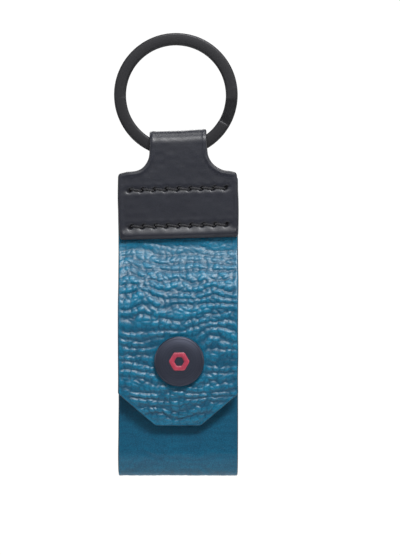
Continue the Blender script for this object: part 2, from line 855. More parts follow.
class SharedGroups:
    """The effects that more than one finish uses."""

    LEATHER = "leather_pores"
    EDGE = "painted_edge"
    HANDLING = "handling_marks"
    BRUSH = "fine_tool_lines"

    def build(self) -> None:
        """Makes every group once."""
        self._leather_pores()
        self._painted_edge()
        self._handling_marks()
        self._fine_tool_lines()

    @staticmethod
    def _new(
        name: str, inputs: dict[str, tuple[str, float]], outputs: dict[str, str]
    ) -> tuple[Graph, bpy.types.Node, bpy.types.Node]:
        """Starts a group.

        Args:
            name: its name.
            inputs: kind and usual value of each input.
            outputs: kind of each output.

        Returns:
            Its graph, its input node and its output node.
        """
        tree = bpy.data.node_groups.new(name, "ShaderNodeTree")
        for key, (kind, usual) in inputs.items():
            socket = tree.interface.new_socket(key, in_out="INPUT", socket_type=f"NodeSocket{kind}")
            if kind == "Float":
                socket.default_value = usual
        for key, kind in outputs.items():
            tree.interface.new_socket(key, in_out="OUTPUT", socket_type=f"NodeSocket{kind}")
        graph = Graph(tree)
        entry, leave = tree.nodes.new("NodeGroupInput"), tree.nodes.new("NodeGroupOutput")
        return graph, entry, leave

    def _leather_pores(self) -> None:
        """Hair pores, tiny wrinkles and cloudy colour of finished leather."""
        graph, entry, leave = self._new(
            self.LEATHER,
            {"Where": ("Vector", 0), "Pore Scale": ("Float", 3.0), "Wrinkle": ("Float", 0.5)},
            {"Height": "Float", "Cloud": "Float", "Pores": "Float"},
        )
        where = entry.outputs["Where"]
        pores = graph.add(
            "TexVoronoi", {"Vector": where, "Scale": entry.outputs["Pore Scale"], "Randomness": 1.0}
        )
        pit = graph.graded(pores.outputs["Distance"], 0.05, 0.32)
        cracks = graph.add(
            "TexVoronoi",
            {"Vector": where, "Scale": graph.times(entry.outputs["Pore Scale"], 0.62)},
            feature="DISTANCE_TO_EDGE",
        )
        wrinkle = graph.graded(cracks.outputs["Distance"], 0.0, 0.16)
        soft = graph.noise(where, 5.5, 4.0)
        height = graph.plus(pit, graph.times(wrinkle, entry.outputs["Wrinkle"]))
        height = graph.plus(height, graph.times(soft, 0.6))
        cloud = graph.noise(where, 0.16, 3.0)
        cloud = graph.plus(graph.times(cloud, 0.7), graph.times(soft, 0.3))
        graph.feed(leave.inputs["Height"], height)
        graph.feed(leave.inputs["Cloud"], graph.graded(cloud, 0.3, 0.7))
        graph.feed(leave.inputs["Pores"], graph.times(pit, wrinkle))

    def _painted_edge(self) -> None:
        """Where edge paint lies, with an uneven border and worn spots."""
        graph, entry, leave = self._new(
            self.EDGE,
            {"Where": ("Vector", 0), "Edge": ("Float", 0)},
            {"Paint": "Float", "Wear": "Float"},
        )
        where = entry.outputs["Where"]
        uneven = graph.times(graph.minus(graph.noise(where, 1.6), 0.5), 0.7)
        paint = graph.graded(graph.plus(entry.outputs["Edge"], uneven), 0.45, 0.75)
        worn = graph.graded(graph.noise(where, 0.7, 5.0, 0.7), 0.6, 0.72)
        rub = graph.graded(entry.outputs["Edge"], 0.15, 0.6)
        graph.feed(leave.inputs["Paint"], paint)
        graph.feed(leave.inputs["Wear"], graph.times(worn, rub))

    def _handling_marks(self) -> None:
        """Faint scuffs and settled dust."""
        graph, entry, leave = self._new(
            self.HANDLING,
            {"Where": ("Vector", 0), "Amount": ("Float", 0.5)},
            {"Scuff": "Float", "Dust": "Float"},
        )
        where = entry.outputs["Where"]
        scuffs = []
        for turn in (24.0, -38.0):
            lines = graph.noise(graph.stretched(where, (0.22, 3.4, 1.0), turn), 1.0, 2.0)
            patch = graph.noise(where, 0.24, 2.0)
            scuffs.append(graph.times(graph.graded(lines, 0.62, 0.74), graph.graded(patch, 0.5, 0.7)))
        scuff = graph.times(graph.maths("MAXIMUM", *scuffs), entry.outputs["Amount"])
        speck = graph.add("TexVoronoi", {"Vector": where, "Scale": 0.9, "Randomness": 1.0})
        dust = graph.graded(speck.outputs["Distance"], 0.09, 0.04)
        graph.feed(leave.inputs["Scuff"], scuff)
        graph.feed(leave.inputs["Dust"], graph.times(dust, entry.outputs["Amount"]))

    def _fine_tool_lines(self) -> None:
        """Fine parallel lines that turning, rolling or brushing leaves on metal and moulds."""
        graph, entry, leave = self._new(
            self.BRUSH,
            {"Across": ("Float", 0), "Where": ("Vector", 0), "Lines": ("Float", 9.0)},
            {"Height": "Float", "Shade": "Float"},
        )
        across = graph.times(entry.outputs["Across"], entry.outputs["Lines"])
        where = graph.add("CombineXYZ", {0: across}).outputs[0]
        lines = graph.noise(where, 1.0, 4.0, 0.6)
        grit = graph.noise(entry.outputs["Where"], 7.0, 3.0)
        graph.feed(leave.inputs["Height"], graph.plus(lines, graph.times(grit, 0.5)))
        graph.feed(leave.inputs["Shade"], graph.graded(lines, 0.35, 0.65))


def start_material(name: str) -> tuple[bpy.types.Material, Graph, bpy.types.Node]:
    """Starts a material with one Principled shader.

    Args:
        name: the material's name.

    Returns:
        The material, its graph and its shader node.
    """
    material = bpy.data.materials.new(name)
    material.use_nodes = True
    tree = material.node_tree
    tree.nodes.clear()
    graph = Graph(tree)
    shader = graph.add("BsdfPrincipled")
    output = graph.add("OutputMaterial")
    tree.links.new(shader.outputs[0], output.inputs[0])
    return material, graph, shader


# ---------------------------------------------------------------- finishes


@dataclass(frozen=True)
class LeatherFinish:
    """Dyed leather with painted edges and a bare flesh side."""

    name: str
    dye: Colour
    crease: Colour
    paint: Colour
    flesh: Colour
    roughness: float
    shine: float
    polish: float
    polish_roughness: float
    pore_scale: float
    pore_depth: float
    wrinkle: float

    CLOUD_TINT = (0.8, 0.82, 0.86, 1.0)
    PORE_TINT = (0.62, 0.66, 0.7, 1.0)
    WORN = (0.55, 0.6, 0.64, 1.0)
    HOLE = (0.004, 0.004, 0.005, 1.0)

    def build(self) -> bpy.types.Material:
        """Makes the material.

        Returns:
            The material.
        """
        material, graph, shader = start_material(self.name)
        where = graph.attribute("flat", "Vector")
        relief = graph.attribute("relief")
        flesh = graph.attribute("flesh")
        hole = graph.attribute("hole")
        pores = graph.group(
            SharedGroups.LEATHER,
            {"Where": where, "Pore Scale": self.pore_scale, "Wrinkle": self.wrinkle},
        )
        edge = graph.group(SharedGroups.EDGE, {"Where": where, "Edge": graph.attribute("edge")})
        marks = graph.group(SharedGroups.HANDLING, {"Where": where, "Amount": 0.5})
        top = graph.graded(relief, 0.2, 0.85)
        colour = graph.mixed(top, self.crease, self.dye)
        cloudy = graph.mixed(1.0, colour, self.CLOUD_TINT, "MULTIPLY")
        colour = graph.mixed(graph.times(pores.outputs["Cloud"], 0.8), colour, cloudy)
        pitted = graph.mixed(1.0, colour, self.PORE_TINT, "MULTIPLY")
        colour = graph.mixed(pores.outputs["Pores"], pitted, colour)
        pale = graph.mixed(0.16, colour, self.WORN)
        colour = graph.mixed(graph.times(marks.outputs["Scuff"], 0.5), colour, pale)
        colour = graph.mixed(edge.outputs["Paint"], colour, self.paint)
        colour = graph.mixed(graph.times(edge.outputs["Wear"], 0.25), colour, pale)
        nap = graph.noise(where, 2.4, 5.0, 0.7)
        bare = graph.mixed(nap, self.flesh, self.crease)
        not_edge = graph.minus(1.0, edge.outputs["Paint"])
        colour = graph.mixed(graph.times(flesh, not_edge), colour, bare)
        colour = graph.mixed(hole, colour, self.HOLE)
        graph.feed(shader.inputs["Base Color"], colour)
        rough = graph.graded(top, 0.0, 1.0, (self.roughness + 0.1, self.roughness))
        rough = graph.plus(rough, graph.times(marks.outputs["Scuff"], 0.12))
        cloud = graph.times(graph.minus(pores.outputs["Cloud"], 0.5), 0.1)
        rough = graph.plus(rough, cloud)
        rough = graph.maths("MAXIMUM", rough, graph.times(flesh, 0.9))
        rough = graph.maths("MAXIMUM", rough, graph.times(hole, 0.9))
        graph.feed(shader.inputs["Roughness"], rough)
        polish = graph.times(graph.minus(1.0, flesh), self.polish)
        polish = graph.times(polish, graph.minus(1.0, hole))
        graph.feed(shader.inputs["Coat Weight"], polish)
        shader.inputs["Coat Roughness"].default_value = self.polish_roughness
        shader.inputs["Specular IOR Level"].default_value = self.shine
        height = graph.plus(pores.outputs["Height"], graph.times(flesh, nap))
        graph.emboss(shader, height, self.pore_depth, 0.85)
        return material


@dataclass(frozen=True)
class MetalFinish:
    """Plated, blackened or bare metal with fine tool lines."""

    name: str
    colour: Colour
    shade: Colour
    metallic: float
    roughness: float
    lines: float
    depth: float
    across: str = ""

    WORN = (0.5, 0.5, 0.52, 1.0)

    def build(self) -> bpy.types.Material:
        """Makes the material.

        Returns:
            The material.
        """
        material, graph, shader = start_material(self.name)
        where = graph.in_millimetres()
        if self.across:
            across = graph.attribute(self.across)
        else:
            parts = graph.add("SeparateXYZ", {0: where}).outputs
            across = graph.plus(parts[0], parts[2])
        brush = graph.group(
            SharedGroups.BRUSH, {"Across": across, "Where": where, "Lines": self.lines}
        )
        marks = graph.group(SharedGroups.HANDLING, {"Where": where, "Amount": 0.3})
        colour = graph.mixed(brush.outputs["Shade"], self.shade, self.colour)
        pale = graph.mixed(0.3, colour, self.WORN)
        colour = graph.mixed(graph.times(marks.outputs["Scuff"], 0.4), colour, pale)
        graph.feed(shader.inputs["Base Color"], colour)
        shader.inputs["Metallic"].default_value = self.metallic
        soft = graph.times(graph.minus(brush.outputs["Shade"], 0.5), 0.08)
        rough = graph.plus(self.roughness, soft)
        rough = graph.plus(rough, graph.times(marks.outputs["Scuff"], 0.1))
        graph.feed(shader.inputs["Roughness"], rough)
        graph.emboss(shader, brush.outputs["Height"], self.depth, 0.7)
        return material


@dataclass(frozen=True)
class MouldedFinish:
    """Plastic, rubber, ceramic or enamel with a fine moulded texture."""

    name: str
    colour: Colour
    shade: Colour
    roughness: float
    grain_scale: float
    depth: float
    coat: float = 0.0
    clearness: float = 0.0

    DUST = (0.5, 0.5, 0.5, 1.0)

    def build(self) -> bpy.types.Material:
        """Makes the material.

        Returns:
            The material.
        """
        material, graph, shader = start_material(self.name)
        where = graph.in_millimetres()
        grain = graph.noise(where, self.grain_scale, 3.0)
        cloud = graph.noise(where, 0.3, 2.0)
        marks = graph.group(SharedGroups.HANDLING, {"Where": where, "Amount": 0.5})
        colour = graph.mixed(graph.graded(cloud, 0.35, 0.65), self.shade, self.colour)
        colour = graph.mixed(graph.times(marks.outputs["Dust"], 0.25), colour, self.DUST)
        graph.feed(shader.inputs["Base Color"], colour)
        rough = graph.maths("MULTIPLY_ADD", grain, 0.12, self.roughness - 0.06)
        rough = graph.plus(rough, graph.times(marks.outputs["Scuff"], 0.12))
        graph.feed(shader.inputs["Roughness"], rough)
        shader.inputs["Coat Weight"].default_value = self.coat
        shader.inputs["Transmission Weight"].default_value = self.clearness
        graph.emboss(shader, grain, self.depth, 0.7)
        return material


@dataclass(frozen=True)
class ThreadFinish:
    """Twisted sewing thread with fine fibres and a little wax."""

    name: str
    colour: Colour
    shade: Colour
    sheen: float = 0.15
    sheen_roughness: float = 0.4
    fibre_depth: float = 0.03

    def build(self) -> bpy.types.Material:
        """Makes the material.

        Returns:
            The material.
        """
        material, graph, shader = start_material(self.name)
        where = graph.in_millimetres()
        fibres = graph.noise(graph.stretched(where, (3.0, 9.0, 14.0), 32.0), 1.0, 3.0, 0.65)
        colour = graph.mixed(graph.graded(fibres, 0.35, 0.65), self.shade, self.colour)
        graph.feed(shader.inputs["Base Color"], colour)
        rough = graph.graded(fibres, 0.3, 0.7, (0.85, 0.65))
        graph.feed(shader.inputs["Roughness"], rough)
        shader.inputs["Sheen Weight"].default_value = self.sheen
        shader.inputs["Sheen Roughness"].default_value = self.sheen_roughness
        graph.emboss(shader, fibres, self.fibre_depth, 0.8)
        return material


class Finish(Enum):
    """Every finish on the fob, named as the record's material slots."""

    TEAL_LEATHER = LeatherFinish(
        "teal_leather",
        dye=screen_colour(6, 104, 134),
        crease=screen_colour(4, 72, 98),
        paint=screen_colour(9, 44, 60),
        flesh=screen_colour(52, 74, 86),
        roughness=0.42,
        shine=0.06,
        polish=0.55,
        polish_roughness=0.35,
        pore_scale=3.2,
        pore_depth=0.010,
        wrinkle=0.5,
    )
    BLACK_LEATHER = LeatherFinish(
        "black_leather",
        dye=screen_colour(25, 27, 37),
        crease=screen_colour(19, 20, 27),
        paint=screen_colour(22, 22, 28),
        flesh=screen_colour(48, 46, 48),
        roughness=0.42,
        shine=0.12,
        polish=0.6,
        polish_roughness=0.42,
        pore_scale=3.6,
        pore_depth=0.007,
        wrinkle=0.35,
    )
    BLACK_STEEL = MetalFinish(
        "black_steel",
        colour=screen_colour(35, 35, 38),
        shade=screen_colour(25, 25, 28),
        metallic=0.55,
        roughness=0.46,
        lines=9.0,
        depth=0.006,
        across="reach",
    )
    CAP_METAL = MetalFinish(
        "cap_metal",
        colour=screen_colour(54, 58, 72),
        shade=screen_colour(42, 45, 57),
        metallic=0.65,
        roughness=0.42,
        lines=7.0,
        depth=0.006,
        across="reach",
    )
    NICKEL = MetalFinish(
        "nickel",
        colour=screen_colour(186, 184, 178),
        shade=screen_colour(160, 158, 152),
        metallic=1.0,
        roughness=0.28,
        lines=5.0,
        depth=0.006,
    )
    BRASS = MetalFinish(
        "brass",
        colour=screen_colour(190, 152, 78),
        shade=screen_colour(164, 126, 58),
        metallic=1.0,
        roughness=0.32,
        lines=5.0,
        depth=0.006,
    )
    RED_ENAMEL = MouldedFinish(
        "red_enamel",
        colour=screen_colour(160, 46, 68),
        shade=screen_colour(138, 38, 60),
        roughness=0.4,
        grain_scale=6.0,
        depth=0.01,
        coat=0.4,
    )
    SHELL_PLASTIC = MouldedFinish(
        "shell_plastic",
        colour=screen_colour(46, 49, 54),
        shade=screen_colour(38, 41, 46),
        roughness=0.52,
        grain_scale=5.0,
        depth=0.03,
    )
    SOFT_RUBBER = MouldedFinish(
        "soft_rubber",
        colour=screen_colour(34, 34, 36),
        shade=screen_colour(26, 26, 28),
        roughness=0.82,
        grain_scale=7.0,
        depth=0.025,
    )
    BOARD_GREEN = MouldedFinish(
        "board_green",
        colour=screen_colour(26, 84, 56),
        shade=screen_colour(16, 62, 40),
        roughness=0.4,
        grain_scale=2.0,
        depth=0.01,
        coat=0.2,
    )
    CHIP_BLACK = MouldedFinish(
        "chip_black",
        colour=screen_colour(30, 30, 32),
        shade=screen_colour(22, 22, 24),
        roughness=0.55,
        grain_scale=8.0,
        depth=0.01,
    )
    CERAMIC_WHITE = MouldedFinish(
        "ceramic_white",
        colour=screen_colour(224, 220, 210),
        shade=screen_colour(206, 202, 190),
        roughness=0.4,
        grain_scale=6.0,
        depth=0.008,
    )
    CLEAR_PLASTIC = MouldedFinish(
        "clear_plastic",
        colour=screen_colour(232, 238, 242),
        shade=screen_colour(218, 226, 232),
        roughness=0.16,
        grain_scale=4.0,
        depth=0.004,
        clearness=0.7,
    )
    BLACK_THREAD = ThreadFinish(
        "black_thread", colour=screen_colour(32, 32, 38), shade=screen_colour(14, 14, 17)
    )


class Wardrobe:
    """Makes each finish once and hands it out."""

    def __init__(self) -> None:
        """Makes the shared groups and an empty store."""
        SharedGroups().build()
        self.made: dict[Finish, bpy.types.Material] = {}

    def get(self, finish: Finish) -> bpy.types.Material:
        """The material of a finish.

        Args:
            finish: the finish wanted.

        Returns:
            Its material.
        """
        if finish not in self.made:
            self.made[finish] = finish.value.build()
        return self.made[finish]

    def put_on(self, obj: bpy.types.Object, finish: Finish) -> None:
        """Dresses a piece in a finish.

        Args:
            obj: the piece.
            finish: the finish that it wears.
        """
        obj.data.materials.clear()
        obj.data.materials.append(self.get(finish))


# ---------------------------------------------------------------- split ring


@dataclass
class SplitRing:
    """Two turns of flat black wire, each turn lying beside the other except at the crossing step."""

    bore_radius: float = 12.6
    band: float = 3.0
    coil_thickness: float = 1.4
    coil_pitch: float = 1.52
    end_angle: float = math.radians(120)
    step_angle: float = math.radians(28)
    rounding: float = 0.5
    steps: int = 420
    round_steps: int = 7
    end_share: float = 0.0015
    end_size: float = 0.86

    def _section(self) -> Array:
        """The wire's rounded outline.

        Returns:
            Rows of each corner's radial and axial place.
        """
        flat = self.band / 2 - self.rounding
        side = self.coil_thickness / 2 - self.rounding
        corners = []
        for quarter, signs in enumerate([(1, -1), (1, 1), (-1, 1), (-1, -1)]):
            start = -90 + 90 * quarter
            angle = np.radians(np.linspace(start, start + 90, self.round_steps))
            rounded = self.rounding * np.stack([np.cos(angle), np.sin(angle)], axis=1)
            corners.append(np.array(signs) * (flat, side) + rounded)
        return np.concatenate(corners)

    def _shares(self) -> Array:
        """Spreads the wire's sections, with more of them at its ends.

        Returns:
            How far along the wire each stands, from 0 to 1.
        """
        near = self.end_share * np.array([0.0, 4 / 15, 0.6])
        middle = np.linspace(self.end_share, 1 - self.end_share, self.steps)
        return np.concatenate([near, middle, 1 - near[::-1]])

    def build(self, wardrobe: Wardrobe) -> bpy.types.Object:
        """Coils the wire and blackens it.

        Args:
            wardrobe: hands out the finishes.

        Returns:
            The ring.
        """
        turn = 2 * math.pi
        shares = self._shares()
        from_end = np.clip(np.minimum(shares, 1 - shares) / self.end_share, 0, 1)
        size = self.end_size + (1 - self.end_size) * np.sqrt(from_end)
        travel = shares * (2 * turn - self.step_angle)
        rise = smoothstep(turn - self.step_angle, turn, travel)[:, None]
        angle = (self.end_angle + travel)[:, None]
        radial, axial = np.moveaxis(self._section()[None] * size[:, None, None], -1, 0)
        radius = self.bore_radius + self.band / 2 + radial
        x, z = radius * np.sin(angle), radius * np.cos(angle) - self.bore_radius
        points = np.stack([x, self.coil_pitch * (rise - 0.5) + axial, z], axis=-1).reshape(-1, 3)
        rings, corners = radius.shape
        faces = ring_faces(rings, corners, flipped=True)
        last = (rings - 1) * corners
        faces.append(tuple(range(corners)))
        faces.append(tuple(range(last, last + corners))[::-1])
        ring = new_object("ring_coil", points, faces)
        write_attribute(ring, "reach", (radius + axial).ravel())
        wardrobe.put_on(ring, Finish.BLACK_STEEL)
        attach(ring, "ring")
        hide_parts("split_ring")
        return ring


# ---------------------------------------------------------------- black tab and its stitching


@dataclass
class Tab:
    """Black leather folded over the ring and sewn through the strap."""

    centre_x: float = 0.6
    width: float = 29.7
    barrel: float = 0.28
    thickness: float = 0.9
    inner_half: float = 2.05
    tilt: float = math.radians(1.5)
    pivot_z: float = -40.0
    bottom_z: float = -48.8
    crown_z: float = -21.45
    crown_rise: float = 2.9
    neck_centre: float = 0.4
    neck_width: float = 14.9
    shoulder_start_z: float = -27.4
    shoulder_z: float = -32.2
    shoulder_drop: float = 0.3
    shoulder_arc: float = 5.45
    corner: float = 0.8
    neck_taper: float = 0.045
    left_lift: float = 0.45
    crown_dish: float = 0.06
    crown_lean: float = 0.08
    row_heights: tuple[float, float] = (-36.4, -45.6)
    stitch_pitch: float = 3.0
    stitch_count: int = 8
    hole_slant: float = math.radians(50)
    hole_half: tuple[float, float] = (0.78, 0.42)
    hole_depth: float = 0.42
    dimple_depth: float = 0.1
    dimple_reach: tuple[float, float] = (1.0, 0.9)
    row_depth: float = 0.1
    row_reach: float = 0.62
    pucker_height: float = 0.03
    pucker_place: float = 1.15
    foot_height: float = 0.2
    lip_height: float = 0.07
    swell: float = 0.05
    ripple: float = 0.02
    seed: int = 31
    neck_band: tuple[float, float] = (16.0, 17.4)

    def __post_init__(self) -> None:
        """Lays out the path from the front's lower edge, over the ring, to the back's lower edge."""
        half = self.inner_half + self.thickness / 2
        arch_z = self.crown_z - self.thickness / 2 - self.crown_rise
        self.path = SidePath(
            straight((-half, self.bottom_z), (-half, arch_z)),
            arc((0, arch_z), (half, self.crown_rise), 180, 0),
            straight((half, arch_z), (half, self.bottom_z)),
            soften=0.4,
        )

    def placed(self, points: Array) -> Array:
        """Points of the upright tab, tilted as the whole tab is.

        Args:
            points: rows of X, Y and Z about the strap's middle.

        Returns:
            The rows in place.
        """
        x, y, z = points.T
        across = np.clip((x - self.neck_centre) / (self.neck_width / 2), -1.3, 1.3)
        top = smoothstep(-27.0, -22.5, z)
        lift = self.left_lift * smoothstep(8.0, 13.0, -x) * smoothstep(-36.0, -32.4, z)
        taper = self.neck_taper * smoothstep(-31.0, -24.0, z)
        x = x + (self.neck_centre - x) * taper
        z = z + lift + top * (self.crown_dish * across**2 + self.crown_lean * (across - 1))
        rise = z - self.pivot_z
        cos, sin = math.cos(self.tilt), math.sin(self.tilt)
        return np.stack(
            [self.centre_x + x * cos - rise * sin, y, self.pivot_z + x * sin + rise * cos], axis=1
        )

    def _half_outline(self) -> tuple[Array, Array]:
        """Outline of one leaf, from the lower edge to the loop's middle.

        Returns:
            Length along the path and half-width.
        """
        corner, half, neck = self.corner, self.width / 2, self.neck_width / 2
        shoulder = self.shoulder_z - self.shoulder_drop - self.bottom_z
        neck_start = self.shoulder_start_z - self.bottom_z
        drop = self.shoulder_start_z - self.shoulder_z
        low, high = np.radians(np.linspace(15, 90, 6)), np.radians(np.linspace(15, 85, 6))
        side, sweep = np.linspace(0.1, 0.95, 16), np.radians(np.linspace(88, 0, 24))
        runs = [
            ([0.0], [half - corner]),
            (corner * (1 - np.cos(low)), half - corner * (1 - np.sin(low))),
            (shoulder * side, half + self.barrel * np.sin(math.pi * side**1.15)),
            (shoulder - corner * (1 - np.sin(high)), half - corner * (1 - np.cos(high))),
            (neck_start - drop * np.sin(sweep), neck + self.shoulder_arc * (1 - np.cos(sweep))),
            ([self.path.length / 2], [neck]),
        ]
        return np.concatenate([run[0] for run in runs]), np.concatenate([run[1] for run in runs])

    def stitches(self) -> Array:
        """Middle of every stitch hole, front and back.

        Returns:
            Rows of X and length along the path.
        """
        places = []
        for height in self.row_heights:
            for index in range(self.stitch_count + 1):
                x = (index - self.stitch_count / 2) * self.stitch_pitch
                places.append((x, height - self.bottom_z))
                places.append((x, self.path.length - (height - self.bottom_z)))
        return np.array(places)

    def _finished(self, x: Array, s: Array, inset: Array) -> Surface:
        """Dimples, pressed rows and swelling of the tab's outer side.

        Args:
            x: place across the tab.
            s: length along the tab.
            inset: distance from the cut edge.

        Returns:
            The surface.
        """
        length = self.path.length
        mirrored = np.minimum(s, length - s)
        noise = SmoothNoise(self.seed)
        height = self.swell * noise.at(x / 6.0, s / 5.0)
        height += self.ripple * noise.at(x / 1.3, s / 1.1 + 9)
        reach = self.stitch_pitch * self.stitch_count / 2
        in_row = 1 - smoothstep(reach + 0.6, reach + 1.8, np.abs(x))
        pucker = 0.7 - 0.3 * np.cos(2 * math.pi * x / self.stitch_pitch)
        for row in self.row_heights:
            line = mirrored - (row - self.bottom_z)
            height -= self.row_depth * in_row * bump(line, 0.0, self.row_reach)
            beside = bump(np.abs(line), self.pucker_place, 0.55)
            height += self.pucker_height * in_row * beside * pucker
        height += self.foot_height * bump(mirrored, 1.25, 0.8)
        height += self.lip_height * bump(inset, 0.75, 0.4)
        hole = np.zeros_like(x)
        cos, sin = math.cos(self.hole_slant), math.sin(self.hole_slant)
        for hole_x, hole_s in self.stitches():
            near = (np.abs(x - hole_x) < 1.6) & (np.abs(s - hole_s) < 1.6)
            run, rise = x[near] - hole_x, s[near] - hole_s
            along, aside = run * cos + rise * sin, rise * cos - run * sin
            long, short = self.hole_half
            depth = np.exp(-(((along / long) ** 2 + (aside / short) ** 2) ** 2))
            hole[near] = np.maximum(hole[near], depth)
            dimple = bump(run, 0.0, self.dimple_reach[0]) * bump(rise, 0.0, self.dimple_reach[1])
            height[near] -= self.dimple_depth * dimple
        relief = np.clip(0.75 + 2.0 * height, 0.3, 1.0)
        return Surface(height - self.hole_depth * hole, relief, smoothstep(0.25, 0.8, hole))

    def build(self, wardrobe: Wardrobe) -> bpy.types.Object:
        """Cuts and folds the tab.

        Args:
            wardrobe: hands out the finishes.

        Returns:
            The tab.
        """
        low_s, low_half = self._half_outline()
        outline_s = np.concatenate([low_s, self.path.length - low_s[-2::-1]])
        half = np.concatenate([low_half, low_half[-2::-1]])
        from_end = np.minimum(outline_s, self.path.length - outline_s)
        middle = self.neck_centre * smoothstep(*self.neck_band, from_end)
        rows_s = [height - self.bottom_z for height in self.row_heights]
        tab = LeatherSheet(
            "tab_leather",
            self.path,
            self.thickness,
            outline_s,
            middle - half,
            middle + half,
            row_pitch=0.24,
            column_pitch=0.235,
            finished=self._finished,
            fine_rows=[(s - 0.9, s + 0.9, 0.15) for s in rows_s],
            edge_radius=0.24,
            place=self.placed,
        ).build()
        wardrobe.put_on(tab, Finish.BLACK_LEATHER)
        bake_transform(tab)
        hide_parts("tab_loop", "neck_front", "neck_back", "tab_front_leaf", "tab_back_leaf")
        return tab


@dataclass
class StitchRow:
    """One row of lockstitch in twisted thread, on both faces of the tab."""

    tab: Tab
    height: float
    name: str
    node: str
    strand_radius: float = 0.15
    strand_sides: int = 7
    twist_radius: float = 0.14
    twist_pitch: float = 1.7
    plies: int = 3
    steps: int = 26
    hole_inset: float = 0.25
    sunk: float = 0.55
    rise: float = 0.55
    squareness: float = 0.55
    slant: float = 0.2
    slack: float = 1.15

    def _stitch(self, hole_x: float, face: int) -> Array:
        """Middle line of one stitch, from hole to hole.

        Args:
            hole_x: X of the stitch's left hole.
            face: -1 for the front and 1 for the back.

        Returns:
            Rows of X, Y and Z about the strap's middle.
        """
        share = np.linspace(0, 1, self.steps)
        x = hole_x + self.hole_inset + (self.tab.stitch_pitch - 2 * self.hole_inset) * share
        arch = np.clip(np.sin(math.pi * share), 0, 1) ** self.squareness
        out = self.tab.inner_half + self.tab.thickness - self.sunk + self.rise * arch
        z = self.height + self.slant * np.cos(math.pi * share)
        return np.stack([x, face * out, z], axis=1)

    def build(self, wardrobe: Wardrobe) -> bpy.types.Object:
        """Sews the row.

        Args:
            wardrobe: hands out the finishes.

        Returns:
            The row of thread.
        """
        points, faces, count = [], [], 0
        turns = np.linspace(0, self.tab.stitch_pitch * self.slack, self.steps) / self.twist_pitch
        for face in (-1, 1):
            for index in range(self.tab.stitch_count):
                hole_x = (index - self.tab.stitch_count / 2) * self.tab.stitch_pitch
                middle = self._stitch(hole_x, face)
                across, other = side_directions(middle)
                for ply in range(self.plies):
                    angle = (2 * math.pi * (turns + ply / self.plies) + index)[:, None]
                    aside = np.cos(angle) * across + np.sin(angle) * other
                    line = middle + self.twist_radius * aside
                    made, sides = tube(line, self.strand_radius, self.strand_sides, count)
                    points.append(made)
                    faces.extend(sides)
                    count += len(made)
        thread = new_object(self.name, self.tab.placed(np.concatenate(points)), faces)
        wardrobe.put_on(thread, Finish.BLACK_THREAD)
        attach(thread, "fob")
        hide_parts(self.node)
        return thread


# ---------------------------------------------------------------- teal strap


